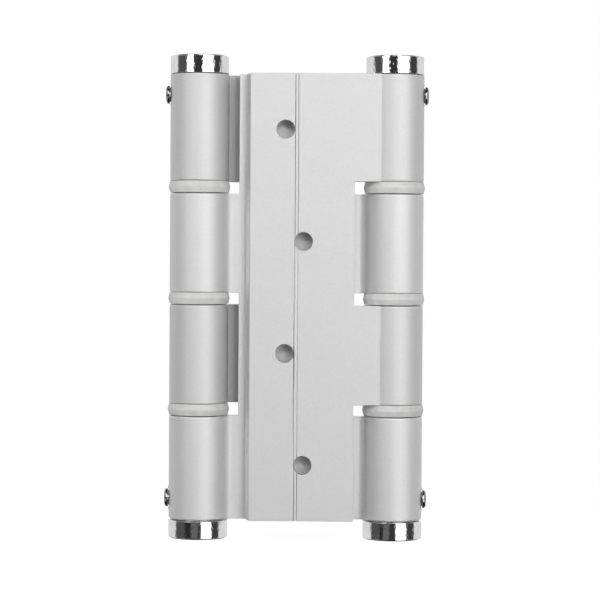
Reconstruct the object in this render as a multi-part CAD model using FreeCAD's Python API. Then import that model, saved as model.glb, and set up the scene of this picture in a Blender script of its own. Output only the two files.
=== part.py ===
import FreeCAD, Part
import math
import os

# Double action spring hinge for a swing door, in millimetres.
# X runs from the jamb-side barrel to the door-side barrel, Z is up and the door leaf faces -Y.
# The origin is the middle of the hinge: half way up, half way between the two barrel axes.

# Overall
BARREL_LENGTH = 180.0
AXIS_SPACING = 79.0

# Plates, counted outwards from the plane that holds both axes
WEB_THICKNESS = 5.0
PLATE_GAP = 1.6
LEAF_THICKNESS = 6.4
LEAF_FACE_SET_BACK = 1.4
FREE_EDGE_GAP = 7.15
FREE_EDGE_DRAFT = 1.75
EDGE_ROUNDING = 0.3
WEB_BLEND = 3.2
LEAF_INNER_BLEND = 0.8
LEAF_OUTER_BLEND = 0.8

# Knuckles and rings
TOP_KNUCKLE = 43.3
BOTTOM_KNUCKLE = 41.9
RING_SPACE = 4.9
RING_PLAY = 0.3
RING_OVERHANG = 0.6
SLEEVE_LENGTH = 8.0
SLEEVE_WALL = 1.0
RING_RIM_ROUNDING = 0.4
BARREL_WALL = 3.1
NOTCH_CLEARANCE = 2.1
SAWN_EDGE_CHAMFER = 0.4

# Leaf groove and the holes that zigzag beside it
GROOVE_WIDTH = 1.5
GROOVE_DEPTH = 0.5
GROOVE_DRAFT = 0.1
HOLE_RADIUS = 3.7
HOLE_PITCH = 45.0
HOLE_ROWS = 4
HOLE_LINE_GAP = 0.1
COUNTERSINK_RADIUS = 6.6

# Tension plugs
HEAD_OVERHANG = 0.1
HEAD_HEIGHT = 7.3
HEAD_RIM_ROUNDING = 0.8
HEAD_FOOT_ROUNDING = 0.15
NECK_HEIGHT = 0.4
NECK_SET_BACK = 2.2
HEX_ACROSS_FLATS = 8.0
HEX_DEPTH = 5.5
SHANK_BEYOND_SCREW = 2.7
SPIGOT_LENGTH = 5.0
INDEX_HOLES = 6
INDEX_HOLE_DEPTH = 3.4

# Lock screws
SCREW_FROM_END = 8.25
SCREW_RADIUS = 2.0
SCREW_POINT_LENGTH = 3.0
SCREW_POINT_STEP = 0.3
SCREW_HEAD_RADIUS = 3.8
SCREW_HEAD_HEIGHT = 2.2
SCREW_HEAD_ROUNDNESS = 0.85
SCREW_NECK_HEIGHT = 0.4
SCREW_NECK_SET_BACK = 0.8
SCREW_SOCKET_ACROSS_FLATS = 2.5
SCREW_SOCKET_DEPTH = 1.3
SPOT_FACE_DEPTH = 0.1

# Tube and spring inside each barrel
TUBE_WALL = 0.9
WIRE_SIDE = 2.6
SPRING_TURNS = 18
SPRING_LEG = 4.0

# Fits
RUNNING_CLEARANCE = 0.05
SEAT_CLEARANCE = 0.05
SPRING_CLEARANCE = 0.4
LEG_CLEARANCE = 0.15
SCREW_CLEARANCE = 0.15
TUBE_END_PLAY = 0.5

# How far a cutting tool runs past the surface it cuts
OVERRUN = 1.0

# Worked out from the sizes above
half_web = WEB_THICKNESS / 2
leaf_inner_y = half_web + PLATE_GAP
leaf_outer_y = leaf_inner_y + LEAF_THICKNESS
barrel_radius = leaf_outer_y + LEAF_FACE_SET_BACK
bore_radius = barrel_radius - BARREL_WALL
sleeve_radius = bore_radius - SEAT_CLEARANCE
tube_radius = sleeve_radius - SLEEVE_WALL - RUNNING_CLEARANCE
tube_bore = tube_radius - TUBE_WALL
notch_radius = barrel_radius + SCREW_HEAD_HEIGHT + NOTCH_CLEARANCE
top_z = BARREL_LENGTH / 2
middle_knuckle = (BARREL_LENGTH - TOP_KNUCKLE - BOTTOM_KNUCKLE - 3 * RING_SPACE) / 2
axis_x = AXIS_SPACING / 2
screw_z = top_z - SCREW_FROM_END
shank_radius = bore_radius - SEAT_CLEARANCE
shank_length = SCREW_FROM_END + SCREW_RADIUS + SHANK_BEYOND_SCREW
spigot_radius = tube_bore - SEAT_CLEARANCE
spring_radius = tube_bore - SPRING_CLEARANCE - WIRE_SIDE / 2
head_radius = barrel_radius + HEAD_OVERHANG

Z_UP = FreeCAD.Vector(0, 0, 1)
ORIGIN = FreeCAD.Vector(0, 0, 0)


def point(x, y, z=0.0):
    return FreeCAD.Vector(x, y, z)


def line(start, end):
    return Part.LineSegment(start, end).toShape()


def arc(start, middle, end):
    return Part.Arc(start, middle, end).toShape()


def box(x, y, z):
    """A box from three (low, high) pairs."""
    sizes = [high - low for low, high in (x, y, z)]
    return Part.makeBox(*sizes, point(x[0], y[0], z[0]))


def turned(outline):
    """A solid turned about the Z axis from (radius, height) corners; a third value rounds a corner."""
    corners = [point(c[0], 0, c[1]) for c in outline]
    edges = []
    ends = []
    for i, corner in enumerate(corners):
        rounding = outline[i][2] if len(outline[i]) > 2 else 0
        if not rounding:
            ends.append((corner, corner))
            continue
        back = (corners[i - 1] - corner).normalize()
        on = (corners[(i + 1) % len(corners)] - corner).normalize()
        half_angle = back.getAngle(on) / 2
        reach = rounding / math.tan(half_angle)
        centre = corner + (back + on).normalize() * (rounding / math.sin(half_angle))
        start = corner + back * reach
        end = corner + on * reach
        edges.append(arc(start, centre + (corner - centre).normalize() * rounding, end))
        ends.append((start, end))
    for i, (first, last) in enumerate(ends):
        following = ends[(i + 1) % len(ends)][0]
        edges.append(line(last, following))
    wire = Part.Wire(Part.__sortEdges__(edges))
    return Part.Face(wire).revolve(ORIGIN, Z_UP, 360)


def hexagon(across_flats, z, depth):
    corner = across_flats / math.sqrt(3)
    corners = [point(corner * math.cos(a), corner * math.sin(a), z)
               for a in (math.radians(60 * i) for i in range(7))]
    return Part.Face(Part.makePolygon(corners)).extrude(point(0, 0, depth))


# Knuckle and ring heights, from the top knuckle down

def knuckle_spans():
    spans = []
    high = top_z
    for length in (TOP_KNUCKLE, middle_knuckle, middle_knuckle, BOTTOM_KNUCKLE):
        spans.append((high - length, high))
        high -= length + RING_SPACE
    return spans


KNUCKLES = knuckle_spans()


# Extruded profiles

def blend(centre_x, side, face_y, open_side, radius):
    """A concave arc from a plate's face to a barrel: its ends on the face and on the barrel."""
    reach = barrel_radius + radius
    offset_y = face_y + open_side * radius
    offset_x = side * math.sqrt(reach ** 2 - offset_y ** 2)
    axis = point(centre_x, 0)
    centre = point(centre_x + offset_x, offset_y)
    on_face = point(centre.x, face_y)
    on_barrel = axis + (centre - axis) * (barrel_radius / reach)
    towards = ((on_face - centre).normalize() + (on_barrel - centre).normalize()).normalize()
    return on_face, arc(on_face, centre + towards * radius, on_barrel), on_barrel


def eased_corner(corner, before, after, radius):
    """A convex corner between two straight sides, eased to a small radius."""
    back = (before - corner).normalize()
    on = (after - corner).normalize()
    half_angle = back.getAngle(on) / 2
    reach = radius / math.tan(half_angle)
    inward = (back + on).normalize()
    middle = corner + inward * (radius / math.sin(half_angle) - radius)
    return corner + back * reach, middle, corner + on * reach


def leaf_profile():
    """The door leaf's section: a plate in front of the axes that runs into the door-side barrel."""
    outer_face, outer_arc, outer_end = blend(axis_x, -1, -leaf_outer_y, -1, LEAF_OUTER_BLEND)
    inner_face, inner_arc, inner_end = blend(axis_x, -1, -leaf_inner_y, 1, LEAF_INNER_BLEND)
    inner_edge_x = -axis_x + barrel_radius + FREE_EDGE_GAP
    inner_corner = point(inner_edge_x, -leaf_inner_y)
    outer_corner = point(inner_edge_x + FREE_EDGE_DRAFT, -leaf_outer_y)
    inner = eased_corner(inner_corner, inner_face, outer_corner, EDGE_ROUNDING)
    outer = eased_corner(outer_corner, inner_corner, outer_face, EDGE_ROUNDING)
    edges = [line(outer[2], outer_face), outer_arc,
             arc(outer_end, point(axis_x + barrel_radius, 0), inner_end), inner_arc,
             line(inner_face, inner[0]), arc(*inner), line(inner[2], outer[0]), arc(*outer)]
    return Part.Face(Part.Wire(Part.__sortEdges__(edges)))


def web_profile():
    """The centre web's section: a plate on the plane of the axes between two barrels."""
    ends = {}
    edges = []
    for side in (-1, 1):
        for face in (-1, 1):
            on_face, edge, on_barrel = blend(side * axis_x, -side, face * half_web, face, WEB_BLEND)
            ends[side, face] = on_face
            edges.append(edge)
            ends[side, face, "barrel"] = on_barrel
        edges.append(arc(ends[side, -1, "barrel"], point(side * (axis_x + barrel_radius), 0),
                         ends[side, 1, "barrel"]))
    for face in (-1, 1):
        edges.append(line(ends[-1, face], ends[1, face]))
    return Part.Face(Part.Wire(Part.__sortEdges__(edges)))


def bored(profile, centres):
    """The profile sawn to length, with its barrels bored right through."""
    solid = profile.extrude(point(0, 0, BARREL_LENGTH))
    solid.translate(point(0, 0, -top_z))
    for centre in centres:
        solid = solid.cut(Part.makeCylinder(bore_radius, BARREL_LENGTH, point(centre, 0, -top_z)))
    return solid


def notched(solid, side, keep):
    """Mills away the knuckles of one barrel that aren't kept, with the ring spaces beside them."""
    far = axis_x + barrel_radius + OVERRUN
    near = axis_x - notch_radius
    reach_x = (near, far) if side > 0 else (-far, -near)
    reach_y = (-barrel_radius - OVERRUN, barrel_radius + OVERRUN)
    for i, (low, high) in enumerate(KNUCKLES):
        if i in keep:
            continue
        bottom = low - OVERRUN if i == len(KNUCKLES) - 1 else low - RING_SPACE
        top = high + OVERRUN if i == 0 else high + RING_SPACE
        solid = solid.cut(box(reach_x, reach_y, (bottom, top)))
    return solid


def broken_edges(solid, side, keep, plate_x, plate_y):
    """A small chamfer round every sawn knuckle end, apart from where the plate joins the barrel."""
    outside = barrel_radius + OVERRUN
    inside = barrel_radius - SAWN_EDGE_CHAMFER
    plate = box((axis_x - notch_radius, plate_x), (-outside, plate_y), (-top_z - OVERRUN, top_z + OVERRUN))
    for i in keep:
        for z, up in zip(KNUCKLES[i], (-1, 1)):
            ring = turned([(inside, z), (outside, z - up * (SAWN_EDGE_CHAMFER + OVERRUN)),
                           (outside, z + up * OVERRUN), (inside, z + up * OVERRUN)])
            ring.translate(point(axis_x, 0))
            ring = ring.cut(plate)
            if side < 0:
                ring.rotate(ORIGIN, Z_UP, 180)
            solid = solid.cut(ring)
    return solid


def screw_seat(side, z):
    """The threaded hole for a lock screw and the shallow flat under its head."""
    outward = point(side, 0, 0)
    centre = point(side * axis_x, 0, z)
    hole = Part.makeCylinder(SCREW_RADIUS, barrel_radius + OVERRUN, centre, outward)
    flat_x = barrel_radius - SPOT_FACE_DEPTH
    flat = Part.makeCylinder(SCREW_HEAD_RADIUS + SCREW_CLEARANCE, OVERRUN, centre + outward * flat_x, outward)
    return hole.fuse(flat)


# Plates

def door_leaf():
    keep = (0, 2)
    leaf = bored(leaf_profile(), (axis_x,))
    leaf = notched(leaf, 1, keep)
    outer_end = blend(axis_x, -1, -leaf_outer_y, -1, LEAF_OUTER_BLEND)[2]
    inner_end = blend(axis_x, -1, -leaf_inner_y, 1, LEAF_INNER_BLEND)[2]
    leaf = broken_edges(leaf, 1, keep, outer_end.x, inner_end.y)
    half_groove = GROOVE_WIDTH / 2
    half_floor = half_groove - GROOVE_DRAFT
    corners = [point(x, y, -top_z) for x, y in (
        (-half_groove, -leaf_outer_y), (-half_floor, -leaf_outer_y + GROOVE_DEPTH),
        (half_floor, -leaf_outer_y + GROOVE_DEPTH), (half_groove, -leaf_outer_y),
        (half_groove, -leaf_outer_y - OVERRUN), (-half_groove, -leaf_outer_y - OVERRUN))]
    groove = Part.Face(Part.makePolygon(corners + corners[:1])).extrude(point(0, 0, BARREL_LENGTH))
    for centre in hole_centres():
        leaf = leaf.cut(countersunk_hole(centre))
    leaf = leaf.cut(groove)
    return leaf.cut(screw_seat(1, screw_z))


def hole_centres():
    """The screw holes zigzag, each touching the same upright line beside the groove."""
    line_x = -GROOVE_WIDTH / 2 - HOLE_LINE_GAP
    first_z = HOLE_PITCH * (HOLE_ROWS - 1) / 2
    sides = (-HOLE_RADIUS, HOLE_RADIUS)
    return [(line_x + sides[i % 2], first_z - i * HOLE_PITCH) for i in range(HOLE_ROWS)]


def countersunk_hole(centre):
    """A hole through the leaf, countersunk on the face that lies against the web."""
    x, z = centre
    sink_depth = COUNTERSINK_RADIUS - HOLE_RADIUS
    outside = point(x, -leaf_outer_y - OVERRUN, z)
    hole = Part.makeCylinder(HOLE_RADIUS, LEAF_THICKNESS + 2 * OVERRUN, outside, point(0, 1, 0))
    sink = Part.makeCone(COUNTERSINK_RADIUS + OVERRUN, HOLE_RADIUS, sink_depth + OVERRUN,
                         point(x, -leaf_inner_y + OVERRUN, z), point(0, -1, 0))
    return hole.fuse(sink)


def centre_web():
    keep = (1, 3)
    web = bored(web_profile(), (-axis_x, axis_x))
    for side in (-1, 1):
        web = notched(web, side, keep)
    web_end = blend(axis_x, -1, half_web, 1, WEB_BLEND)[2]
    for side in (-1, 1):
        web = broken_edges(web, side, keep, web_end.x, barrel_radius + OVERRUN)
        web = web.cut(screw_seat(side, -screw_z))
    return web


# Pieces of one barrel, made about the Z axis

def tension_plug():
    """A plug whose head stands on a knuckle end at z = 0, with its shank below."""
    spigot_z = -shank_length - SPIGOT_LENGTH
    head_top = NECK_HEIGHT + HEAD_HEIGHT
    plug = turned([(0, spigot_z), (spigot_radius, spigot_z), (spigot_radius, -shank_length),
                   (shank_radius, -shank_length), (shank_radius, 0), (barrel_radius - NECK_SET_BACK, 0),
                   (barrel_radius - NECK_SET_BACK, NECK_HEIGHT),
                   (head_radius, NECK_HEIGHT, HEAD_FOOT_ROUNDING),
                   (head_radius, head_top, HEAD_RIM_ROUNDING), (0, head_top)])
    plug = plug.cut(hexagon(HEX_ACROSS_FLATS, head_top - HEX_DEPTH, HEX_DEPTH + OVERRUN))
    for i in range(INDEX_HOLES):
        angle = 2 * math.pi * i / INDEX_HOLES
        outward = point(math.cos(angle), math.sin(angle))
        start = outward * (shank_radius - INDEX_HOLE_DEPTH) + point(0, 0, -SCREW_FROM_END)
        plug = plug.cut(Part.makeCylinder(SCREW_RADIUS, INDEX_HOLE_DEPTH + OVERRUN, start, outward))
    half_notch = WIRE_SIDE / 2 + LEG_CLEARANCE
    notch = box((spring_radius - half_notch, spigot_radius + OVERRUN), (-half_notch, half_notch),
                (spigot_z - OVERRUN, spigot_z + SPRING_LEG + LEG_CLEARANCE))
    return plug.cut(notch)


def lock_screw():
    """A button head that stands on a narrow neck at z = 0, with its threaded shank below."""
    seat = barrel_radius - SPOT_FACE_DEPTH
    wall_end = shank_radius - seat + SCREW_CLEARANCE
    tip = wall_end - SCREW_POINT_LENGTH
    thread = SCREW_RADIUS - SEAT_CLEARANCE
    neck = SCREW_HEAD_RADIUS - SCREW_NECK_SET_BACK
    rounding = SCREW_HEAD_ROUNDNESS * (SCREW_HEAD_HEIGHT - SCREW_NECK_HEIGHT)
    screw = turned([(0, tip), (thread - SCREW_POINT_STEP, tip), (thread - SCREW_POINT_STEP, wall_end),
                    (thread, wall_end), (thread, 0), (neck, 0), (neck, SCREW_NECK_HEIGHT),
                    (SCREW_HEAD_RADIUS, SCREW_NECK_HEIGHT), (SCREW_HEAD_RADIUS, SCREW_HEAD_HEIGHT, rounding),
                    (0, SCREW_HEAD_HEIGHT)])
    socket_z = SCREW_HEAD_HEIGHT - SCREW_SOCKET_DEPTH
    return screw.cut(hexagon(SCREW_SOCKET_ACROSS_FLATS, socket_z, SCREW_SOCKET_DEPTH + OVERRUN))


def bearing_ring():
    """A flanged nylon bush: the flange's top lies at z = 0 and the sleeve stands above it."""
    bore = tube_radius + RUNNING_CLEARANCE
    thickness = RING_SPACE - RING_PLAY
    return turned([(bore, -thickness), (barrel_radius, -thickness),
                   (barrel_radius + RING_OVERHANG, -thickness / 2, RING_RIM_ROUNDING),
                   (barrel_radius, 0), (sleeve_radius, 0), (sleeve_radius, SLEEVE_LENGTH), (bore, SLEEVE_LENGTH)])


def pivot_tube():
    """The steel tube that the knuckles turn on, standing on the lower plug's shoulder."""
    low = -top_z + shank_length
    length = 2 * -low - TUBE_END_PLAY
    tube = Part.makeCylinder(tube_radius, length, point(0, 0, low))
    return tube.cut(Part.makeCylinder(tube_bore, length, point(0, 0, low)))


def torsion_spring():
    """A square-wire spring between the plugs' spigots, with a straight leg in each one's notch."""
    spigot_end = top_z - shank_length - SPIGOT_LENGTH
    half = WIRE_SIDE / 2
    low = -spigot_end + LEG_CLEARANCE + half
    height = -2 * low
    helix = Part.makeHelix(height / SPRING_TURNS, height, spring_radius)
    helix.translate(point(0, 0, low))
    corners = [point(spring_radius + x, 0, low + z)
               for x, z in ((-half, -half), (half, -half), (half, half), (-half, half), (-half, -half))]
    coil = Part.Wire(helix.Edges).makePipeShell([Part.makePolygon(corners)], True, True)
    leg_length = WIRE_SIDE + SPRING_LEG
    for direction in (-1, 1):
        inner_end = direction * (-low - half)
        outer_end = inner_end + direction * leg_length
        leg = box((spring_radius - half, spring_radius + half), (-half, half),
                  (min(inner_end, outer_end), max(inner_end, outer_end)))
        coil = coil.fuse(leg)
    return coil


# Assembly

def placed(shape, x=0.0, z=0.0, axis=Z_UP, angle=0.0):
    copy = shape.copy()
    move = FreeCAD.Placement(point(x, 0, z), FreeCAD.Rotation(axis, angle))
    copy.Placement = move.multiply(copy.Placement)
    return copy


def barrel_pieces(name, side):
    """The nine loose pieces that fill one barrel; side is -1 at the jamb and 1 at the door."""
    x = side * axis_x
    plug = tension_plug()
    screw = lock_screw()
    ring = bearing_ring()
    seat = side * (axis_x + barrel_radius - SPOT_FACE_DEPTH)
    pieces = {
        name + "_torsion_spring": placed(torsion_spring(), x),
        name + "_pivot_tube": placed(pivot_tube(), x),
        name + "_upper_tension_plug": placed(plug, x, top_z),
        name + "_lower_tension_plug": placed(plug, x, -top_z, point(1, 0, 0), 180),
        name + "_upper_lock_screw": placed(screw, seat, screw_z, point(0, 1, 0), side * 90),
        name + "_lower_lock_screw": placed(screw, seat, -screw_z, point(0, 1, 0), side * 90),
    }
    for place, (low, high) in zip(("upper", "middle", "lower"), KNUCKLES):
        pieces[name + "_" + place + "_ring"] = placed(ring, x, low)
    return pieces


def hinge():
    leaf = door_leaf()
    nodes = {"door_leaf": leaf, "centre_web": centre_web(), "jamb_leaf": placed(leaf, angle=180)}
    nodes.update(barrel_pieces("jamb", -1))
    nodes.update(barrel_pieces("door", 1))
    return nodes


os.makedirs("parts", exist_ok=True)
for node, shape in hinge().items():
    solid = shape.Solids[0] if len(shape.Solids) == 1 else shape
    print(f"{node:28s} solids {len(shape.Solids)} valid {shape.isValid()} volume {shape.Volume:10.2f}")
    solid.exportStep("parts/" + node + ".step")
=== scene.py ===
# %% [markdown]
# # A double action spring hinge, dressed for its portrait
#
# The construction model arrives as a fixed frame: twenty-one solids at their real size, on three
# bodies that swing about two barrels. This script gives each solid the surface that the real
# piece has. The plates are drawn again here with finer curves and broken edges, since a solid's
# facets show as bands once light rakes along a barrel. Everything is in metres, in the same
# frame as the solids, so a piece goes where its solid is, with no fitting.

# %% Load the frame
import bpy
import bmesh
import math
import numpy as np
from mathutils import Matrix, Vector


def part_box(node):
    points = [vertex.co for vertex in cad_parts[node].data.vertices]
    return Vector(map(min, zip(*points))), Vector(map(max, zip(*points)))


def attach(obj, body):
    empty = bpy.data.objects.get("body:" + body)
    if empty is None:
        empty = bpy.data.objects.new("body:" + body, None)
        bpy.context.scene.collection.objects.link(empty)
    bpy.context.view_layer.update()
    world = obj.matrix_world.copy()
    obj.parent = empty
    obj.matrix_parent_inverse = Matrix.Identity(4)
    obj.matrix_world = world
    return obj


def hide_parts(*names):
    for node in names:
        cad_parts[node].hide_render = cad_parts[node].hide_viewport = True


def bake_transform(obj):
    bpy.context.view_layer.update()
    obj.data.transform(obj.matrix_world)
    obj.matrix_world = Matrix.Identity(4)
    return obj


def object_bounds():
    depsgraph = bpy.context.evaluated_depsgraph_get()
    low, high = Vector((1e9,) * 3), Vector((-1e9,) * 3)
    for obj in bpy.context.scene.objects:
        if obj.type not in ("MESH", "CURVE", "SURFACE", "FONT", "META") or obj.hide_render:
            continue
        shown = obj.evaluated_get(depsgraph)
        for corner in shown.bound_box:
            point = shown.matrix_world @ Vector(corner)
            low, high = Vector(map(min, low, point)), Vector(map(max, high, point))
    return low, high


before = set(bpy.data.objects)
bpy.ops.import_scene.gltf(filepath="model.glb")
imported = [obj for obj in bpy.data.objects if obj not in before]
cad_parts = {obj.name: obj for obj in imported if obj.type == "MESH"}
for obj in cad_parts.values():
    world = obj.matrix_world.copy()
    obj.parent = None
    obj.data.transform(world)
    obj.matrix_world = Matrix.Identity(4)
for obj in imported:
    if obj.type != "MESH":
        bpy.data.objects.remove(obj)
cad_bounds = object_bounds()
print("nodes", len(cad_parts))

# %% [markdown]
# The main sizes are read off the solids' boxes, so the dressed pieces can't drift away from
# them. The web is the widest piece: its half width is an axis plus a barrel radius, and its half
# depth is a barrel radius. Sizes that no box shows, such as a wall or a blend, are written in
# millimetres beside the piece they belong to. One of them is the space between two knuckles,
# which takes a ring's rim of 4.6 mm and its play.

# %% Sizes from the boxes
MM = 0.001

web_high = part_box("centre_web")[1]
barrel_radius = web_high.y
axis_x = web_high.x - barrel_radius
top_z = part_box("door_leaf")[1].z
rings = {place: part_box("door_" + place + "_ring") for place in ("upper", "middle", "lower")}
ring_space = 4.9 * MM


def knuckle_spans():
    """The (low, high) heights of the four knuckles, counted from the top."""
    sleeve = 8.0 * MM
    spans = []
    high = top_z
    for place in ("upper", "middle", "lower"):
        flange_top = rings[place][1].z - sleeve
        spans.append((flange_top, high))
        high = flange_top - ring_space
    spans.append((high, -top_z))
    return [(min(s), max(s)) for s in spans]


KNUCKLES = knuckle_spans()
print("barrel radius", round(barrel_radius / MM, 3), "axis", round(axis_x / MM, 3))
print("knuckles", [(round(a / MM, 2), round(b / MM, 2)) for a, b in KNUCKLES])

# %% [markdown]
# The camera stands nearly a metre in front of the hinge with a long lens, so upright edges stay
# almost parallel. It looks down by a little over one degree and is rolled by a third of a
# degree. A camera in Blender looks along its own -Z, so its matrix is built from the three
# directions right, up and backwards, and no tracking constraint is needed.

# %% Camera
def camera_at(place, yaw, pitch, roll, lens):
    """A camera turned by angles in degrees: yaw to its right, pitch down and roll to its left."""
    yaw, pitch, roll = (math.radians(a) for a in (yaw, pitch, roll))
    level = Vector((math.cos(yaw), -math.sin(yaw), 0))
    ahead = Vector((math.sin(yaw), math.cos(yaw), 0))
    forward = ahead * math.cos(pitch) - Vector((0, 0, math.sin(pitch)))
    upright = level.cross(forward)
    right = level * math.cos(roll) + upright * math.sin(roll)
    up = upright * math.cos(roll) - level * math.sin(roll)
    camera = bpy.data.objects.new("camera", bpy.data.cameras.new("camera"))
    camera.data.sensor_width = 36.0
    camera.data.lens = lens
    camera.data.clip_start = 0.01
    axes = Matrix((right, up, -forward)).transposed().to_4x4()
    camera.matrix_world = Matrix.Translation(place) @ axes
    bpy.context.scene.collection.objects.link(camera)
    return camera


camera = camera_at(Vector((5.912, -896.276, 18.652)) * MM,
                   yaw=-0.28, pitch=1.267, roll=0.367, lens=132.453)
bpy.context.scene.camera = camera
bpy.context.scene.view_settings.view_transform = "Standard"
print("camera", [round(v, 4) for v in camera.location])

# %% [markdown]
# Every material and every geometry tree below is written with two small helpers. `add` puts one
# node into a tree: its type, its settings (set first, because some of them change the sockets),
# and the values or links of its inputs. It returns a `Wire`, an output socket on which
# arithmetic adds Math nodes, so a mask can be written as `1 - grain * 0.3`. Two more helpers
# make a mesh from its points and faces, and put a mesh into the scene.

# %% Helpers for node trees
class Wire:
    """An output socket of a node tree. Arithmetic on it adds Math nodes."""

    def __init__(self, tree, socket):
        self.tree = tree
        self.socket = socket

    def math(self, operation, *values):
        return add(self.tree, "ShaderNodeMath", {"operation": operation}, dict(enumerate(values)))

    def __add__(self, other):
        return self.math("ADD", self, other)

    def __sub__(self, other):
        return self.math("SUBTRACT", self, other)

    def __mul__(self, other):
        return self.math("MULTIPLY", self, other)

    def __rsub__(self, other):
        return self.math("SUBTRACT", other, self)

    __radd__ = __add__

    def ramp(self, low, high):
        """0 below low, 1 above high and smooth between them."""
        return add(self.tree, "ShaderNodeMapRange", {"interpolation_type": "SMOOTHSTEP"},
                   {"Value": self, "From Min": low, "From Max": high})


def add(tree, kind, settings=None, values=None, output=0):
    """Adds one node and returns the wire of its chosen output, if it has outputs."""
    node = tree.nodes.new(kind)
    for name, value in (settings or {}).items():
        setattr(node, name, value)
    for name, value in (values or {}).items():
        if isinstance(value, Wire):
            tree.links.new(value.socket, node.inputs[name])
        else:
            node.inputs[name].default_value = value
    return Wire(tree, node.outputs[output]) if node.outputs else None


def new_material(name):
    material = bpy.data.materials.new(name)
    material.use_nodes = True
    material.node_tree.nodes.clear()
    return material, material.node_tree


def finish_surface(tree, shader):
    add(tree, "ShaderNodeOutputMaterial", None, {"Surface": shader})


def new_mesh(name, points, faces):
    mesh = bpy.data.meshes.new(name)
    mesh.from_pydata(points, [], faces)
    return mesh


def linked(name, mesh):
    piece = bpy.data.objects.new(name, mesh)
    bpy.context.scene.collection.objects.link(piece)
    return piece


print("helpers ready")

# %% [markdown]
# The stage is a pale floor that stays white to the horizon, in white surroundings. Close to the
# hinge the floor takes its shadow, and further out the camera sees plain white. The surroundings
# are white for the camera, a little dimmer in mirrors, and only a dim even fill as a light.

# %% Floor and world
def white_floor():
    """A floor that takes the object's shadow nearby and turns plain white further out."""
    material, tree = new_material("floor_white")
    place = add(tree, "ShaderNodeTexCoord", output=3)
    flat = add(tree, "ShaderNodeVectorMath", {"operation": "MULTIPLY"}, {0: place, 1: (1, 1, 0)})
    radius = add(tree, "ShaderNodeVectorMath", {"operation": "LENGTH"}, {0: flat}, output=1)
    camera_ray = add(tree, "ShaderNodeLightPath", output="Is Camera Ray")
    near = add(tree, "ShaderNodeBsdfDiffuse", None, {"Color": (0.4, 0.4, 0.4, 1)})
    lift = add(tree, "ShaderNodeEmission", None,
               {"Color": (1, 1, 1, 1), "Strength": camera_ray * 0.85})
    lit = add(tree, "ShaderNodeAddShader", None, {0: near, 1: lift})
    plain = add(tree, "ShaderNodeBsdfDiffuse", None, {"Color": (0.8, 0.8, 0.8, 1)})
    white = add(tree, "ShaderNodeEmission", None, {"Color": (1, 1, 1, 1)})
    far = add(tree, "ShaderNodeMixShader", None, {0: camera_ray, 1: plain, 2: white})
    shadow_end, white_start = 0.08, 0.22
    both = add(tree, "ShaderNodeMixShader", None,
               {0: radius.ramp(shadow_end, white_start), 1: lit, 2: far})
    finish_surface(tree, both)
    size, gap = 30.0, 0.2 * MM
    z = cad_bounds[0][2] - gap
    corners = [(-size, -size, z), (size, -size, z), (size, size, z), (-size, size, z)]
    mesh = new_mesh("floor", corners, [(0, 1, 2, 3)])
    mesh.materials.append(material)
    floor = linked("floor", mesh)
    floor.visible_glossy = False


def white_world(mirrored, fill):
    """White where the camera looks, and dimmer levels for mirrors and as a light."""
    world = bpy.data.worlds.new("white_surroundings")
    world.use_nodes = True
    tree = world.node_tree
    tree.nodes.clear()
    camera_ray = add(tree, "ShaderNodeLightPath", output="Is Camera Ray")
    glossy_ray = add(tree, "ShaderNodeLightPath", output="Is Glossy Ray")
    seen = camera_ray.math("MAXIMUM", camera_ray, glossy_ray * mirrored)
    level = camera_ray.math("MAXIMUM", seen, fill)
    white = add(tree, "ShaderNodeBackground", None, {"Color": (1, 1, 1, 1), "Strength": level})
    add(tree, "ShaderNodeOutputWorld", None, {"Surface": white})
    bpy.context.scene.world = world


white_floor()
white_world(mirrored=0.75, fill=0.35)
print("floor at", round(cad_bounds[0][2] / MM, 2), "mm")

# %% [markdown]
# The lamps are those of a product studio. A tall softbox to the right of the camera and one up on
# the left draw the long lights down the barrels. A small strong key and a wide thin softbox
# above the camera shine into the screw holes, and a last one lights the back.

# %% Softboxes
def round_the_object(azimuth, elevation, distance):
    """A place as seen from the object: azimuth 0 is the camera's side, positive to its right."""
    a, e = math.radians(azimuth), math.radians(elevation)
    return Vector((math.sin(a) * math.cos(e), -math.cos(a) * math.cos(e), math.sin(e))) * distance


def softbox(name, azimuth, elevation, distance, width, height, radiance):
    """A rectangular area lamp that faces the object, as bright as that radiance."""
    lamp = bpy.data.lights.new(name, "AREA")
    lamp.shape = "RECTANGLE"
    lamp.size = width
    lamp.size_y = height
    lamp.energy = radiance * math.pi * width * height
    light = bpy.data.objects.new(name, lamp)
    place = round_the_object(azimuth, elevation, distance)
    back = place.normalized()
    side = Vector((0, 0, 1)).cross(back).normalized()
    axes = Matrix((side, back.cross(side), back)).transposed().to_4x4()
    light.matrix_world = Matrix.Translation(place) @ axes
    bpy.context.scene.collection.objects.link(light)
    print(name, "W", round(lamp.energy, 2), "m", round(width, 2), round(height, 2))


# Azimuth and elevation in degrees; distance, width and height in metres; radiance.
softbox("softbox_right", 35, 9, 1.3, 0.95, 1.85, 1.1)
softbox("softbox_key", 18.5, 14, 1.2, 0.27, 0.27, 3.7)
softbox("softbox_left", -37, 24, 1.45, 0.60, 1.25, 2.3)
softbox("softbox_back", 178, 22, 1.5, 0.9, 0.9, 1.2)
softbox("softbox_front", 4, 22.5, 1.3, 0.55, 0.2, 6.3)

# %% [markdown]
# Polished metal shows whatever stands around it, and what makes it look like metal is the dark
# between the lights. So dark cards hang behind the camera, low on its left, near below it and at
# both sides. A dim ring lies level above the hinge and another below, for the rims and roundings
# that face them. The upper one is open in the middle, where the tops of the heads mirror the
# white. The camera itself never sees these cards, whichever way it turns.

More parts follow.
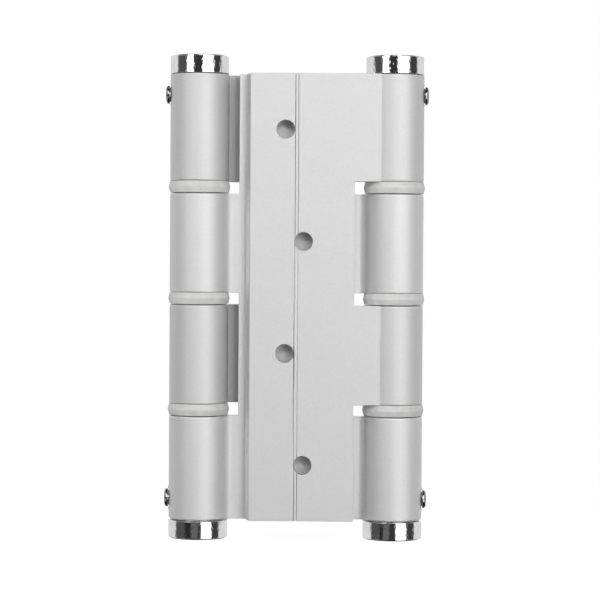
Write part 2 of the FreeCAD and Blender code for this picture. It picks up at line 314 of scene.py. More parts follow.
# %% Dark cards and rings
def dim_card(name, points, faces, brightness):
    """A faintly glowing surface that only reflections see."""
    material, tree = new_material(name)
    finish_surface(tree, add(tree, "ShaderNodeEmission", None, {"Strength": brightness}))
    mesh = new_mesh(name, points, faces)
    mesh.materials.append(material)
    card = linked(name, mesh)
    card.visible_camera = False
    card.visible_diffuse = False
    card.visible_shadow = False
    print(name, "brightness", brightness)


def dark_card(name, first, last, low, high, brightness, distance=1.5, steps=8):
    """A curved card round the object, from one azimuth and one height to another."""
    points = []
    for i in range(steps + 1):
        at = round_the_object(first + (last - first) * i / steps, 0, distance)
        points += [(at.x, at.y, low), (at.x, at.y, high)]
    faces = [(2 * i, 2 * i + 2, 2 * i + 3, 2 * i + 1) for i in range(steps)]
    dim_card(name, points, faces, brightness)


def dark_ring(name, inner, outer, z, brightness, steps=36):
    """A level ring about the upright axis."""
    angles = [2 * math.pi * i / steps for i in range(steps)]
    points = [(r * math.cos(a), r * math.sin(a), z) for r in (outer, inner) for a in angles]
    faces = [(i, (i + 1) % steps, (i + 1) % steps + steps, i + steps) for i in range(steps)]
    dim_card(name, points, faces, brightness)


# First and last azimuth in degrees; lower and upper edge in metres; brightness.
dark_card("card_low_left", -51, -25, -0.5, 0.04, 0.02)
dark_card("card_behind_camera", -25, 14, -1.6, 1.0, 0.035)
dark_card("card_right", 55, 92, -0.5, 0.5, 0.05)
dark_card("card_left", -92, -50, -0.5, 0.5, 0.08)
dark_card("card_near_below", -30, -4, -0.19, -0.10, 0.13, distance=0.28)
# Inner and outer radius and height in metres; brightness.
dark_ring("dark_ground", 0.01, 1.0, -0.6, 0.03)
dark_ring("dark_ceiling", 0.22, 0.85, 0.7, 0.04)

# %% [markdown]
# ## Finishes
#
# The leaves and the web are extruded aluminium, blasted with fine grit and anodised in its
# natural silver. Seen close it is a pale grey metal with a dense, dull sparkle, mottled at about
# a millimetre and without any die lines left. Where the saw or the cutter went in, the surface
# is smoother and carries fine parallel marks, and along every broken edge the coat is a shade
# lighter. The web is a shade paler than the leaves. The leaves get painted shade, a darker grey
# in the groove and the creases, which an ambient occlusion node finds.
#
# The grain is noise on Object coordinates, so it is as large in metres on every piece. The
# masks `milled` and `edge` are attributes that the mesh code writes on the faces. The helpers
# in this cell serve all the finishes.

# %% Anodised aluminium
def surface_place(tree):
    return add(tree, "ShaderNodeTexCoord", output=3)


def noise(tree, place, scale, detail=2.0, roughness=0.5, stretch=None):
    """Noise with that many features per metre; stretch draws it out along an axis."""
    if stretch:
        place = add(tree, "ShaderNodeVectorMath", {"operation": "MULTIPLY"},
                    {0: place, 1: stretch})
    return add(tree, "ShaderNodeTexNoise", None,
               {"Vector": place, "Scale": scale, "Detail": detail, "Roughness": roughness})


def tint(tree, factor, first, second):
    """A colour between two colours, each a wire, a triple, or one number for a grey."""
    ends = []
    for colour in (first, second):
        if isinstance(colour, float):
            colour = (colour, colour, colour)
        ends.append(colour if isinstance(colour, Wire) else (*colour, 1))
    return add(tree, "ShaderNodeMix", {"data_type": "RGBA"},
               {0: factor, 6: ends[0], 7: ends[1]}, output=2)


def mask(tree, name):
    return add(tree, "ShaderNodeAttribute", {"attribute_name": name}, output="Fac")


def relief(tree, strength, depth, height):
    """A normal bent by a height map whose full range is that deep, in metres."""
    return add(tree, "ShaderNodeBump", None,
               {"Strength": strength, "Distance": depth, "Height": height})


def bare_metal(tree, colour, roughness, normal):
    finish_surface(tree, add(tree, "ShaderNodeBsdfPrincipled", None, {
        "Base Color": colour, "Metallic": 1.0, "Roughness": roughness, "Normal": normal}))


def anodised_aluminium(name, dark, pale, painted_shade_cover):
    """Blasted anodised metal between two greys, painted shade over that share of its hollows."""
    material, tree = new_material(name)
    place = surface_place(tree)
    grit = noise(tree, place, 2600, detail=4, roughness=0.65)
    pits = noise(tree, place, 6500, detail=2)
    mottle = noise(tree, place, 1100, detail=3, roughness=0.6)
    cloud = noise(tree, place, 60, detail=3)
    tool_marks = noise(tree, place, 1500, detail=1, stretch=(1, 0.05, 1))
    milled = mask(tree, "milled")
    edge = mask(tree, "edge")
    speck = noise(tree, place, 420, detail=1).ramp(0.845, 0.87)
    shade = mottle * 0.6 + grit * 0.25 + cloud * 0.15
    colour = tint(tree, shade.ramp(0.3, 0.7), dark, pale)
    colour = tint(tree, edge * 0.45, colour, 0.92)
    colour = tint(tree, speck * 0.5, colour, (0.2, 0.19, 0.18))
    # Painted shade: an ambient occlusion node darkens narrow hollows such as the groove and
    # creases.
    open_sky = add(tree, "ShaderNodeAmbientOcclusion", {"samples": 8}, {"Distance": 8 * MM},
                   output="AO")
    painted_shade = (1 - open_sky.ramp(0.1, 0.9)) * (1 - milled) * painted_shade_cover
    colour = tint(tree, painted_shade, colour, 0.3)
    blasted = 0.58 + mottle * 0.10 + cloud * 0.05
    roughness = blasted * (1 - milled * 0.25) - edge * 0.08
    blasted_height = grit * 0.5 + pits * 0.2 + mottle * 0.3
    milled_height = tool_marks * 0.5 + pits * 0.1
    height = blasted_height * (1 - milled) + milled_height * milled
    bare_metal(tree, colour, roughness, relief(tree, 0.55, 0.06 * MM, height))
    return material


WEB_ALUMINIUM = anodised_aluminium("anodised_web", 0.825, 0.875, painted_shade_cover=0.0)
LEAF_ALUMINIUM = anodised_aluminium("anodised_leaf", 0.78, 0.83, painted_shade_cover=0.6)
print("made", WEB_ALUMINIUM.name, LEAF_ALUMINIUM.name)

# %% [markdown]
# The plugs' heads are plated bright, and the lock screws in a darker zinc. A plated turned part
# isn't a perfect mirror: the plating has a fine peel that roughens the edges of what it mirrors,
# faint lathe rings run round it, and handling leaves patches where it is a touch duller. Lathe
# rings follow the height on a barrel's side, so they are noise drawn out flat.

# %% Bright plating
def bright_plating(name, dull, bright):
    material, tree = new_material(name)
    place = surface_place(tree)
    lathe = noise(tree, place, 2400, detail=2, stretch=(0.02, 0.02, 1))
    peel = noise(tree, place, 1500, detail=1.5)
    handling = noise(tree, place, 220, detail=4, roughness=0.6)
    edge = mask(tree, "edge")
    colour = tint(tree, handling.ramp(0.35, 0.75), dull, bright)
    roughness = 0.05 + handling.ramp(0.45, 0.8) * 0.06 + edge * 0.05
    bare_metal(tree, colour, roughness, relief(tree, 1.0, 0.07 * MM, peel * 0.8 + lathe * 0.2))
    return material


PLATING = bright_plating("bright_plating", (0.84, 0.84, 0.845), (0.92, 0.92, 0.925))
SCREW_PLATING = bright_plating("dark_zinc_plating", (0.36, 0.36, 0.37), (0.52, 0.52, 0.53))
print("made", PLATING.name, SCREW_PLATING.name)

# %% [markdown]
# The bearing rings are turned from natural nylon. It is milky and lets a little light in, so it
# gets some subsurface scattering, with faint turning rings and a slightly warm grey tint. The
# springs are oiled steel wire and the tubes drawn steel with a thin coat of zinc.

# %% Nylon and the hidden steels
def natural_nylon():
    material, tree = new_material("natural_nylon")
    place = surface_place(tree)
    turning = noise(tree, place, 3000, detail=2, stretch=(0.03, 0.03, 1))
    cloud = noise(tree, place, 300, detail=3)
    edge = mask(tree, "edge")
    colour = tint(tree, cloud.ramp(0.3, 0.7), (0.66, 0.66, 0.65), (0.75, 0.75, 0.74))
    colour = tint(tree, edge * 0.3, colour, (0.8, 0.8, 0.79))
    roughness = 0.36 + cloud * 0.12 + edge * 0.05
    finish_surface(tree, add(tree, "ShaderNodeBsdfPrincipled", None, {
        "Base Color": colour, "Roughness": roughness,
        "Normal": relief(tree, 0.4, 0.03 * MM, turning * 0.7 + cloud * 0.3),
        "Subsurface Weight": 0.35, "Subsurface Radius": (0.003, 0.003, 0.0028),
        "Subsurface Scale": 1.0, "IOR": 1.5}))
    return material


def drawn_steel(name, first, second, base_roughness, along):
    """Steel with the fine lines of drawing or coiling along it."""
    material, tree = new_material(name)
    place = surface_place(tree)
    lines = noise(tree, place, 1600, detail=3, stretch=along)
    oil = noise(tree, place, 250, detail=4, roughness=0.6)
    colour = tint(tree, (lines * 0.5 + oil * 0.5).ramp(0.3, 0.7), first, second)
    roughness = oil * 0.15 + base_roughness
    bare_metal(tree, colour, roughness, relief(tree, 0.5, 0.03 * MM, lines))
    return material


NYLON = natural_nylon()
SPRING_STEEL = drawn_steel("oiled_spring_steel", (0.10, 0.10, 0.105), (0.24, 0.235, 0.23),
                           base_roughness=0.3, along=(1, 1, 0.3))
TUBE_STEEL = drawn_steel("zinc_plated_tube", (0.50, 0.51, 0.53), (0.66, 0.67, 0.68),
                         base_roughness=0.25, along=(1, 1, 0.03))
print("made", NYLON.name, SPRING_STEEL.name, TUBE_STEEL.name)

# %% [markdown]
# ## Mesh helpers
#
# A section is drawn as a closed line in the plane of X and Y and stretched to the hinge's
# length. Turned pieces and round cutters are a profile turned about Z.

# %% Stretched and turned solids
def arc(centre, radius, first, last, steps):
    """Points on an arc from one angle to another, in degrees, both ends included."""
    angles = [math.radians(first + (last - first) * i / steps) for i in range(steps + 1)]
    return [(centre[0] + radius * math.cos(a), centre[1] + radius * math.sin(a)) for a in angles]


def stretched(name, outline, low, high):
    """A prism: the outline, counter-clockwise from above, from one height to another."""
    count = len(outline)
    points = [(x, y, z) for z in (low, high) for x, y in outline]
    faces = [(i, (i + 1) % count, (i + 1) % count + count, i + count) for i in range(count)]
    faces.append(tuple(range(count, 2 * count)))
    faces.append(tuple(reversed(range(count))))
    return linked(name, new_mesh(name, points, faces))


def lathed(name, profile, steps=96):
    """A closed solid turned about Z from (radius, height) corners, the first and last on Z."""
    inner = profile[1:-1]
    points = [(0, 0, profile[0][1])]
    for i in range(steps):
        angle = 2 * math.pi * i / steps
        points += [(r * math.cos(angle), r * math.sin(angle), z) for r, z in inner]
    points.append((0, 0, profile[-1][1]))
    rows = len(inner)
    faces = []
    for i in range(steps):
        a, b = 1 + i * rows, 1 + (i + 1) % steps * rows
        faces.append((0, b, a))
        faces += [(a + j, b + j, b + j + 1, a + j + 1) for j in range(rows - 1)]
        faces.append((a + rows - 1, b + rows - 1, len(points) - 1))
    return linked(name, new_mesh(name, points, faces))


def cylinder(name, radius, start, end, steps=72, end_radius=None):
    """A plain cutter between two points; with a second radius it is a cone."""
    start, end = Vector(start), Vector(end)
    length = (end - start).length
    second = radius if end_radius is None else end_radius
    cutter = lathed(name, [(0, 0), (radius, 0), (second, length), (0, length)], steps)
    turn = Vector((0, 0, 1)).rotation_difference(end - start).to_matrix().to_4x4()
    cutter.data.transform(Matrix.Translation(start) @ turn)
    return cutter


print("solids: stretched, lathed, cylinder")

# %% [markdown]
# Saw cuts, bores and drilled holes are taken out with Boolean modifiers, as the machine shop
# takes them out of the bar. The barrels' sawn ends get a chamfer. A second Bevel modifier breaks
# the other sharp edges last, and puts its faces in a second material slot, which is how the code
# finds them to write the `edge` mask.

# %% Cutting and breaking edges
def baked(piece):
    """Applies the modifiers: the evaluated mesh takes the place of the piece's own."""
    graph = bpy.context.evaluated_depsgraph_get()
    mesh = bpy.data.meshes.new_from_object(piece.evaluated_get(graph))
    mesh.name = piece.name
    piece.modifiers.clear()
    piece.data = mesh


def carved(piece, cutters):
    """Takes each cutter out of the piece, and then removes the cutters."""
    for cutter in cutters:
        change = piece.modifiers.new(cutter.name, "BOOLEAN")
        change.operation = "DIFFERENCE"
        change.solver = "EXACT"
        change.object = cutter
    bpy.context.view_layer.update()
    baked(piece)
    for cutter in cutters:
        bpy.data.objects.remove(cutter)


def sawn_ends(piece, axes, heights, width):
    """A chamfer round the barrels' sawn ends: those edges get a weight, and a bevel of one step."""
    mesh = piece.data
    weight = mesh.attributes.new("bevel_weight_edge", "FLOAT", "EDGE")
    close = 0.02 * MM
    for edge in mesh.edges:
        ends = [mesh.vertices[v].co for v in edge.vertices]
        level = any(sum(abs(p.z - z) for p in ends) < close / 2 for z in heights)
        for x in axes:
            from_wall = [abs(math.hypot(p.x - x, p.y) - barrel_radius) for p in ends]
            if level and max(from_wall) < close:
                weight.data[edge.index].value = 1.0
    chamfer = piece.modifiers.new("sawn_ends", "BEVEL")
    chamfer.width = width
    chamfer.segments = 1
    chamfer.limit_method = "WEIGHT"
    chamfer.use_clamp_overlap = False
    baked(piece)


def broken(piece, width, material, segments=2, angle=32):
    """Breaks the sharp edges, shades the piece smooth and writes the edge mask."""
    mesh = piece.data
    mesh.materials.clear()
    mesh.materials.append(material)
    mesh.materials.append(material)
    mesh.shade_smooth()
    bevel = piece.modifiers.new("broken_edges", "BEVEL")
    bevel.width = width
    bevel.segments = segments
    bevel.limit_method = "ANGLE"
    bevel.angle_limit = math.radians(angle)
    bevel.use_clamp_overlap = False
    bevel.material = 1
    weigh = piece.modifiers.new("flat_faces_stay_flat", "WEIGHTED_NORMAL")
    weigh.keep_sharp = False
    bpy.context.view_layer.update()
    baked(piece)
    mesh = piece.data
    slots = np.zeros(len(mesh.polygons), np.int32)
    mesh.polygons.foreach_get("material_index", slots)
    edge = mesh.attributes.new("edge", "FLOAT", "FACE")
    edge.data.foreach_set("value", (slots == 1).astype(np.float32))
    mesh.polygons.foreach_set("material_index", np.zeros(len(slots), np.int32))
    mesh.materials.pop()
    return piece


def report(piece):
    size = piece.dimensions / MM
    print(piece.name, "faces", len(piece.data.polygons), "size mm", [round(v, 2) for v in size])


print("edges: sawn_ends, broken")

# %% [markdown]
# ## The leaves
#
# One extrusion serves both leaves: a plate of 6.4 mm that runs into a barrel. Both its faces
# meet the barrel in crisp creases, and its free edge leans back with eased corners. A narrow
# groove down the face guides the drill, with a fine gutter at either side of its floor. The
# section is written point by point, the way the die was cut: face, groove, crease, barrel, inner
# crease, inner face, free edge.

# %% The leaf's section
leaf_inner = 4.1 * MM
leaf_outer = 10.5 * MM
groove_half = 0.75 * MM
groove_depth = 0.5 * MM
gutter = 0.2 * MM
free_edge_inner = -20.45 * MM
free_edge_outer = -18.7 * MM


def crease(face_y, radius, above):
    """A concave blend from a plate's face to the barrel at +axis_x: centre and meeting angle."""
    offset_y = face_y + above * radius
    reach = barrel_radius + radius
    offset_x = -math.sqrt(reach ** 2 - offset_y ** 2)
    return (axis_x + offset_x, offset_y), math.degrees(math.atan2(-offset_y, -offset_x))


def leaf_section():
    blend, ease = 0.8 * MM, 0.3 * MM
    outer, outer_angle = crease(-leaf_outer, blend, -1)
    inner, inner_angle = crease(-leaf_inner, blend, 1)
    gutter_in, floor_in = 0.13 * MM, 0.36 * MM
    half_groove = [(groove_half, 0), (groove_half - gutter_in, groove_depth + gutter),
                   (groove_half - floor_in, groove_depth - gutter)]
    line = [(free_edge_outer + ease, -leaf_outer)]
    line += [(-x, depth - leaf_outer) for x, depth in half_groove]
    line += [(x, depth - leaf_outer) for x, depth in reversed(half_groove)]
    line += arc(outer, blend, 90, outer_angle, 6)
    line += arc((axis_x, 0), barrel_radius, outer_angle - 180, inner_angle + 180, 104)[1:]
    line += arc(inner, blend, inner_angle, -90, 10)[1:]
    line += [(free_edge_inner + ease, -leaf_inner),
             (free_edge_inner + 0.1 * ease, -leaf_inner - 0.5 * ease),
             (free_edge_inner + 1.2 * ease, -leaf_inner - 1.5 * ease),
             (free_edge_outer - 0.2 * ease, -leaf_outer + 0.8 * ease)]
    return line


section = leaf_section()
print("leaf section", len(section), "points")

# %% [markdown]
# Each leaf keeps the first and third knuckle of its barrel. The cutter that removes the others
# also clears the ring spaces and a little of the plate behind, so that the web's knuckles can
# turn there. Both leaves are the same piece turned half round, so one function makes both: it
# works on the door's leaf, and the jamb's is turned about Z as the last step.

# %% Cutters that the plates share
notch_radius = barrel_radius + 4.3 * MM
bore_radius = barrel_radius - 3.1 * MM
seat_depth = 0.1 * MM
hole_radius = 3.7 * MM
sink_radius = 6.6 * MM
screw_height = top_z - 8.25 * MM
sawn_chamfer = 0.4 * MM
past = 1.0 * MM


def block(name, x, y, z):
    return stretched(name, [(x[0], y[0]), (x[1], y[0]), (x[1], y[1]), (x[0], y[1])], *z)


def notch_cutters(side, keep):
    """Blocks over the knuckles that one barrel doesn't keep, with the ring spaces beside them."""
    near, far = axis_x - notch_radius, axis_x + barrel_radius + past
    x = (near, far) if side > 0 else (-far, -near)
    y = (-barrel_radius - past, barrel_radius + past)
    blocks = []
    for i, (low, high) in enumerate(KNUCKLES):
        if i not in keep:
            bottom = low - past if i == 3 else low - ring_space
            top = high + past if i == 0 else high + ring_space
            blocks.append(block(f"notch_{i}", x, y, (bottom, top)))
    return blocks


def bore_cutter(side):
    x, z = side * axis_x, top_z + past
    return cylinder("bore", bore_radius, (x, 0, -z), (x, 0, z), 96)


def screw_seat_cutters(side, z):
    """A threaded hole through the barrel wall and the shallow flat under the screw's head."""
    def at(distance):
        return (side * (axis_x + distance), 0, z)

    outside = at(barrel_radius + past)
    return [cylinder("lock_screw_hole", 2.0 * MM, at(bore_radius - past), outside, 40),
            cylinder("lock_screw_flat", 3.95 * MM, at(barrel_radius - seat_depth), outside, 48)]


print("hole radius", round(hole_radius / MM, 2), "bore", round(bore_radius / MM, 2))

# %% [markdown]
# The four screw holes zigzag beside the groove, 45 mm apart, so that the screws don't split the
# wood along one line. They are plain on the face that is seen and countersunk on the other,
# because the screws are driven from the inner side while the hinge stands open.

# %% Leaves
def zigzag():
    """Centres of the screw holes as (x, z), left and right of a line beside the groove."""
    line_x = -groove_half - 0.1 * MM
    pitch = 45.0 * MM
    return [(line_x + (-hole_radius, hole_radius)[i % 2], pitch * (1.5 - i)) for i in range(4)]


def screw_hole_cutters(x, z):
    sink = sink_radius - hole_radius
    hole = cylinder("hole", hole_radius, (x, -leaf_outer - past, z), (x, 0, z), 64)
    cone = cylinder("countersink", sink_radius + past, (x, -leaf_inner + past, z),
                    (x, -leaf_inner - sink, z), 64, end_radius=hole_radius)
    return [hole, cone]


def milled_mask(piece, axes, holes):
    """Marks the faces that a cutter made: sawn ends, notch walls, bores and drilled holes."""
    mesh = piece.data
    centres, normals = np.zeros((2, len(mesh.polygons), 3), np.float32)
    mesh.polygons.foreach_get("center", centres.ravel())
    mesh.polygons.foreach_get("normal", normals.ravel())
    facing_x, facing_y, facing_z = (np.abs(normals) > 0.9).T
    cut = facing_z
    for side in axes:
        from_axis = np.hypot(centres[:, 0] - side * axis_x, centres[:, 1])
        cut |= from_axis < bore_radius + 0.2 * MM
        from_wall = np.abs(centres[:, 0] - side * (axis_x - notch_radius))
        cut |= facing_x & (from_wall < 0.05 * MM)
    for x, z in holes:
        across = np.hypot(centres[:, 0] - x, centres[:, 2] - z)
        cut |= (across < sink_radius + 0.1 * MM) & ~facing_y
    attribute = mesh.attributes.new("milled", "FLOAT", "FACE")
    attribute.data.foreach_set("value", cut.astype(np.float32))


def dressed_leaf(node, turn):
    piece = stretched(node + "_plate", section, -top_z, top_z)
    cutters = notch_cutters(1, (0, 2))
    cutters.append(bore_cutter(1))
    for x, z in zigzag():
        cutters += screw_hole_cutters(x, z)
    cutters += screw_seat_cutters(1, screw_height)
    carved(piece, cutters)
    sawn_ends(piece, (axis_x,), [z for i in (0, 2) for z in KNUCKLES[i]], sawn_chamfer)
    broken(piece, 0.18 * MM, LEAF_ALUMINIUM)
    milled_mask(piece, (1,), zigzag())
    piece.data.transform(Matrix.Rotation(turn, 4, "Z"))
    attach(piece, node)
    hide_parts(node)
    report(piece)


dressed_leaf("door_leaf", 0)
dressed_leaf("jamb_leaf", math.pi)

# %% [markdown]
# ## The centre web
#
# The web is a second extrusion: a 5 mm plate on the plane of the two axes, with a barrel at each
# end. It keeps the second and fourth knuckle of both barrels, and generous hollows lead from its
# faces into them.

# %% Centre web
def web_section():
    """Counter-clockwise from the hollow below the door-side barrel."""
    half, hollow = 2.5 * MM, 3.2 * MM
    offset_y = half + hollow
    offset_x = math.sqrt((barrel_radius + hollow) ** 2 - offset_y ** 2)
    centre_x = axis_x - offset_x
    meeting = math.degrees(math.atan2(offset_y, offset_x))
    right = arc((centre_x, -offset_y), hollow, 90, meeting, 12)
    right += arc((axis_x, 0), barrel_radius, meeting - 180, 180 - meeting, 104)[1:]
    right += arc((centre_x, offset_y), hollow, -meeting, -90, 12)[1:]
    return right + [(-x, -y) for x, y in right]


def dressed_web():
    piece = stretched("centre_web_plate", web_section(), -top_z, top_z)
    cutters = []
    for side in (-1, 1):
        cutters += notch_cutters(side, (1, 3))
    for side in (-1, 1):
        cutters.append(bore_cutter(side))
        cutters += screw_seat_cutters(side, -screw_height)
    carved(piece, cutters)
    sawn_ends(piece, (-axis_x, axis_x), [z for i in (1, 3) for z in KNUCKLES[i]], sawn_chamfer)
    broken(piece, 0.26 * MM, WEB_ALUMINIUM)
    milled_mask(piece, (-1, 1), [])
    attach(piece, "centre_web")
    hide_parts("centre_web")
    report(piece)


dressed_web()

# %% [markdown]
# ## What repeats
#
# Four plugs, four lock screws and six rings are each one piece made several times. The piece is
# modelled once about the Z axis. A small Geometry Nodes tree then sets it on points: every point
# carries a direction, `out`, and the tree turns the piece's own Z to it. Each group's result is
# turned into a plain mesh, one for each body that carries such pieces.

# %% The tree that sets a piece on points
def setting_tree():
    tree = bpy.data.node_groups.new("set_on_points", "GeometryNodeTree")
    face = tree.interface
    face.new_socket("Places", in_out="INPUT", socket_type="NodeSocketGeometry")
    face.new_socket("Piece", in_out="INPUT", socket_type="NodeSocketObject")
    face.new_socket("Finish", in_out="INPUT", socket_type="NodeSocketMaterial")
    face.new_socket("Pieces", in_out="OUTPUT", socket_type="NodeSocketGeometry")
    source = add(tree, "NodeGroupInput")
    places, piece, finish = (Wire(tree, s) for s in source.socket.node.outputs[:3])
    out = add(tree, "GeometryNodeInputNamedAttribute", {"data_type": "FLOAT_VECTOR"},
              {"Name": "out"})
    facing = add(tree, "FunctionNodeAlignRotationToVector", {"axis": "Z"}, {"Vector": out})
    shape = add(tree, "GeometryNodeObjectInfo", {"transform_space": "ORIGINAL"},
                {"Object": piece}, output="Geometry")
    points = add(tree, "GeometryNodeMeshToPoints", None, {"Mesh": places})
    copies = add(tree, "GeometryNodeInstanceOnPoints", None,
                 {"Points": points, "Instance": shape, "Rotation": facing})
    real = add(tree, "GeometryNodeRealizeInstances", None, {"Geometry": copies})
    done = add(tree, "GeometryNodeSetMaterial", None, {"Geometry": real, "Material": finish})
    add(tree, "NodeGroupOutput", None, {"Pieces": done})
    return tree


def set_on_points(name, pattern, material, body, nodes, places):
    """One mesh of copies of the pattern, at each (place, direction), that rides on the body."""
    mesh = new_mesh(name, [place for place, _ in places], [])
    out = mesh.attributes.new("out", "FLOAT_VECTOR", "POINT")
    out.data.foreach_set("vector", np.array([d for _, d in places], np.float32).ravel())
    piece = linked(name, mesh)
    modifier = piece.modifiers.new("set_on_points", "NODES")
    modifier.node_group = SETTING
    inputs = {i.name: i.identifier for i in SETTING.interface.items_tree if i.in_out == "INPUT"}
    modifier[inputs["Piece"]] = pattern
    modifier[inputs["Finish"]] = material
    bpy.context.view_layer.update()
    baked(piece)
    if not piece.data.materials:
        piece.data.materials.append(material)
    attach(piece, body)
    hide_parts(*nodes)
    report(piece)


SETTING = setting_tree()
UP, DOWN = (0, 0, 1), (0, 0, -1)
print("tree nodes", len(SETTING.nodes))

# %% [markdown]
# A tension plug is a turned head on a shank. The head stands on the end of the barrel over a
# narrow neck, and its hexagon socket takes the key that winds up the spring. Six blind holes
# round the shank are the steps at which the lock screw can hold it, and the spigot below goes
# into the spring, whose leg lies in the notch. The upper plugs have settled 0.3 mm into their
# barrels, as the photograph shows.

# %% Tension plugs
def rounded(profile, roundings, steps=5):
    """The corners of a lathe profile, with some of them rounded: {corner number: radius}."""
    result = []
    for i, corner in enumerate(profile):
        if i not in roundings:
            result.append(corner)
            continue
        here = Vector(corner)
        back = (Vector(profile[i - 1]) - here).normalized()
        on = (Vector(profile[i + 1]) - here).normalized()
        half = back.angle(on) / 2
        reach = roundings[i] / math.tan(half)
        centre = here + (back + on).normalized() * (roundings[i] / math.sin(half))
        first, last = here + back * reach - centre, here + on * reach - centre
        for step in range(steps + 1):
            direction = first.lerp(last, step / steps).normalized()
            result.append(tuple(centre + direction * roundings[i]))
    return result


def hexagon_cutter(across, low, high):
    corner = across / math.sqrt(3)
    outline = [(corner * math.cos(math.radians(60 * i)), corner * math.sin(math.radians(60 * i)))
               for i in range(6)]
    return stretched("hexagon", outline, low, high)


def tension_plug():
    shank, spigot, neck, head = 8.75 * MM, 6.75 * MM, barrel_radius - 2.2 * MM, 12.0 * MM
    foot, top, shank_end, spigot_end = 0.4 * MM, 7.7 * MM, -12.95 * MM, -17.95 * MM
    corners = [(0, spigot_end), (spigot, spigot_end), (spigot, shank_end), (shank, shank_end),
               (shank, 0), (neck, 0), (neck, foot), (head, foot), (head, top), (0, top)]
    plug = lathed("tension_plug", rounded(corners, {7: 0.15 * MM, 8: 0.5 * MM}))
    socket_depth, hole_depth = 5.5 * MM, 3.4 * MM
    cutters = [hexagon_cutter(8.0 * MM, top - socket_depth, top + past)]
    centre = Vector((0, 0, screw_height - top_z))
    for i in range(6):
        angle = math.radians(60 * i)
        out = Vector((math.cos(angle), math.sin(angle), 0))
        cutters.append(cylinder("step_hole", 2.0 * MM, centre + out * (shank - hole_depth),
                                centre + out * (shank + past), 32))
    notch_start, notch_half, notch_length = 3.65 * MM, 1.45 * MM, 4.15 * MM
    cutters.append(block("leg_notch", (notch_start, spigot + past), (-notch_half, notch_half),
                         (spigot_end - past, spigot_end + notch_length)))
    carved(plug, cutters)
    return broken(plug, 0.14 * MM, PLATING, segments=3, angle=40)


PLUG = tension_plug()
settled = 0.3 * MM
for side, name in ((-1, "jamb"), (1, "door")):
    set_on_points(name + "_upper_plug", PLUG, PLATING, name + "_leaf",
                  [name + "_upper_tension_plug"], [((side * axis_x, 0, top_z - settled), UP)])
set_on_points("lower_plugs", PLUG, PLATING, "centre_web",
              ["jamb_lower_tension_plug", "door_lower_tension_plug"],
              [((side * axis_x, 0, -top_z), DOWN) for side in (-1, 1)])

# %% [markdown]
# The lock screws have button heads with a small socket, standing on a narrow neck, and a real
# thread: the radius of the shank follows a triangle wave of height less turn, so the crest
# climbs one pitch each time round. The point is plain, because it only has to enter a blind hole
# of the plug.

# %% Lock screws
def threaded_shank(radius, depth, pitch, low, high, steps=36, rows_per_pitch=8):
    """A closed rod whose radius rises and falls along a helix, fading out at both ends."""
    rows = int((high - low) / pitch * rows_per_pitch)
    points = [(0, 0, low)]
    for row in range(rows + 1):
        z = low + (high - low) * row / rows
        fade = min(1, (z - low) / pitch, (high - z) / pitch)
        for i in range(steps):
            phase = (z / pitch - i / steps) % 1
            wave = abs(2 * phase - 1)
            r = radius - depth * (1 - wave) * fade
            angle = 2 * math.pi * i / steps
            points.append((r * math.cos(angle), r * math.sin(angle), z))
    points.append((0, 0, high))
    faces = []
    for i in range(steps):
        j = (i + 1) % steps
        faces.append((0, 1 + j, 1 + i))
        for row in range(rows):
            a = 1 + row * steps
            faces.append((a + i, a + j, a + steps + j, a + steps + i))
        last = 1 + rows * steps
        faces.append((last + i, last + j, len(points) - 1))
    mesh = new_mesh("thread", points, faces)
    mesh.shade_smooth()
    return mesh


def lock_screw():
    neck, head, foot, height = 3.0 * MM, 3.8 * MM, 0.4 * MM, 1.9 * MM
    corners = [(0, 0), (neck, 0), (neck, foot), (head, foot), (head, height), (0, height)]
    button = lathed("lock_screw", rounded(corners, {4: 1.35 * MM}, steps=12), 64)
    carved(button, [hexagon_cutter(2.5 * MM, height - 1.3 * MM, height + past)])
    broken(button, 0.08 * MM, SCREW_PLATING, angle=25)
    thread_end, overlap, touch = -2.95 * MM, 0.05 * MM, 0.0002 * MM
    thread = threaded_shank(1.95 * MM, depth=0.32 * MM, pitch=0.7 * MM, low=thread_end, high=touch)
    tip, point_end, slope = 1.65 * MM, -5.95 * MM, 0.2 * MM
    point = lathed("point", [(0, point_end), (tip - slope, point_end), (tip, point_end + slope),
                             (tip, thread_end + overlap), (0, thread_end + overlap)], 40)
    work = bmesh.new()
    work.from_mesh(button.data)
    work.from_mesh(thread)
    work.from_mesh(point.data)
    work.to_mesh(button.data)
    work.free()
    bpy.data.objects.remove(point)
    return button


SCREW = lock_screw()
seat = axis_x + barrel_radius - seat_depth
for side, name in ((-1, "jamb"), (1, "door")):
    set_on_points(name + "_upper_screw", SCREW, SCREW_PLATING, name + "_leaf",
                  [name + "_upper_lock_screw"], [((side * seat, 0, screw_height), (side, 0, 0))])
set_on_points("lower_screws", SCREW, SCREW_PLATING, "centre_web",
              ["jamb_lower_lock_screw", "door_lower_lock_screw"],
              [((side * seat, 0, -screw_height), (side, 0, 0)) for side in (-1, 1)])

# %% [markdown]
# A bearing ring is a flanged bush. Its rim has two bevels that meet in a soft ridge, a little
# prouder than the barrel, and its sleeve goes up into the knuckle above.

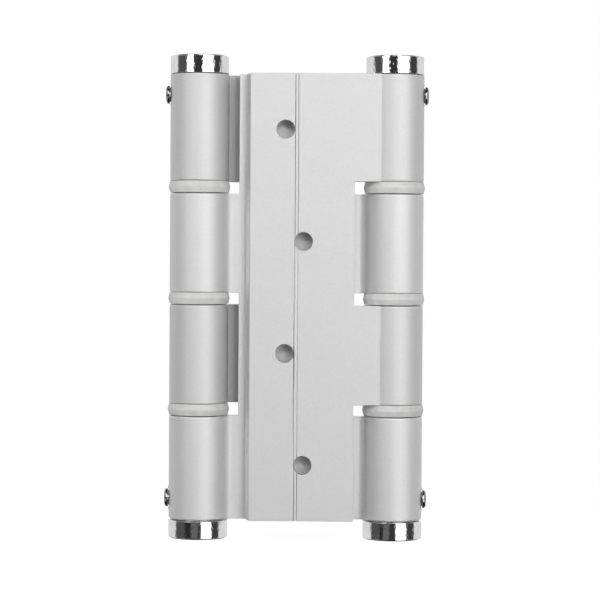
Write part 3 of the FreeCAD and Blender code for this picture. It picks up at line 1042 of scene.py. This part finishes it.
# %% Bearing rings
def bearing_ring():
    inner, sleeve, ridge = 7.75 * MM, barrel_radius - 3.15 * MM, barrel_radius + 0.6 * MM
    thick, length = 4.6 * MM, 8.0 * MM
    corners = [(inner, -thick), (barrel_radius, -thick), (ridge, -thick / 2), (barrel_radius, 0),
               (sleeve, 0), (sleeve, length), (inner, length)]
    profile = rounded(corners, {2: 0.4 * MM}, steps=4)
    steps, count = 96, len(profile)
    points = [(r * math.cos(2 * math.pi * i / steps), r * math.sin(2 * math.pi * i / steps), z)
              for i in range(steps) for r, z in profile]
    faces = []
    for i in range(steps):
        here, there = i * count, (i + 1) % steps * count
        faces += [(here + j, there + j, there + (j + 1) % count, here + (j + 1) % count)
                  for j in range(count)]
    ring = linked("bearing_ring", new_mesh("bearing_ring", points, faces))
    return broken(ring, 0.15 * MM, NYLON, segments=3, angle=25)


RING = bearing_ring()
heights = [low for low, high in KNUCKLES[:3]]
for side, name in ((-1, "jamb"), (1, "door")):
    set_on_points(name + "_outer_rings", RING, NYLON, name + "_leaf",
                  [name + "_upper_ring", name + "_lower_ring"],
                  [((side * axis_x, 0, heights[i]), UP) for i in (0, 2)])
set_on_points("middle_rings", RING, NYLON, "centre_web",
              ["jamb_middle_ring", "door_middle_ring"],
              [((side * axis_x, 0, heights[1]), UP) for side in (-1, 1)])

for pattern in (PLUG, SCREW, RING):
    bpy.data.objects.remove(pattern)

# %% [markdown]
# A torsion spring is held by its two legs: the lower one in the web's plug, the upper one in the
# leaf's. As the hinge opens, the coils between them share out the turn. A rigid copy would drag
# its upper leg through the plug. The dressed spring here is the solid welded into one mesh with
# its steel; it stays where the solid is and doesn't twist.

# %% Torsion springs
def twisting_spring(name):
    node_name = name + "_torsion_spring"
    leg, weld = 4.5 * MM, 0.001 * MM
    work = bmesh.new()
    work.from_mesh(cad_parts[node_name].data)
    bmesh.ops.remove_doubles(work, verts=work.verts, dist=weld)
    mesh = bpy.data.meshes.new(name + "_spring")
    work.to_mesh(mesh)
    work.free()
    mesh.materials.clear()
    mesh.materials.append(SPRING_STEEL)
    piece = linked(name + "_spring", mesh)
    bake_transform(piece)
    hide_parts(node_name)
    report(piece)


twisting_spring("jamb")
twisting_spring("door")

# %% [markdown]
# The tubes that the knuckles turn on are hidden in the barrels. Their solids have the right
# shape, so they keep it and only get their steel. The solids that a dressed piece stands for get
# its finish too.

# %% Tubes and hidden solids
HIDDEN_FINISH = {"leaf": LEAF_ALUMINIUM, "web": WEB_ALUMINIUM, "plug": PLATING,
                 "screw": SCREW_PLATING, "ring": NYLON, "spring": SPRING_STEEL,
                 "tube": TUBE_STEEL}
for node_name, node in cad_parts.items():
    kind = node_name.rsplit("_", 1)[-1]
    node.data.materials.clear()
    node.data.materials.append(HIDDEN_FINISH[kind])
print("finished nodes", len(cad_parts))
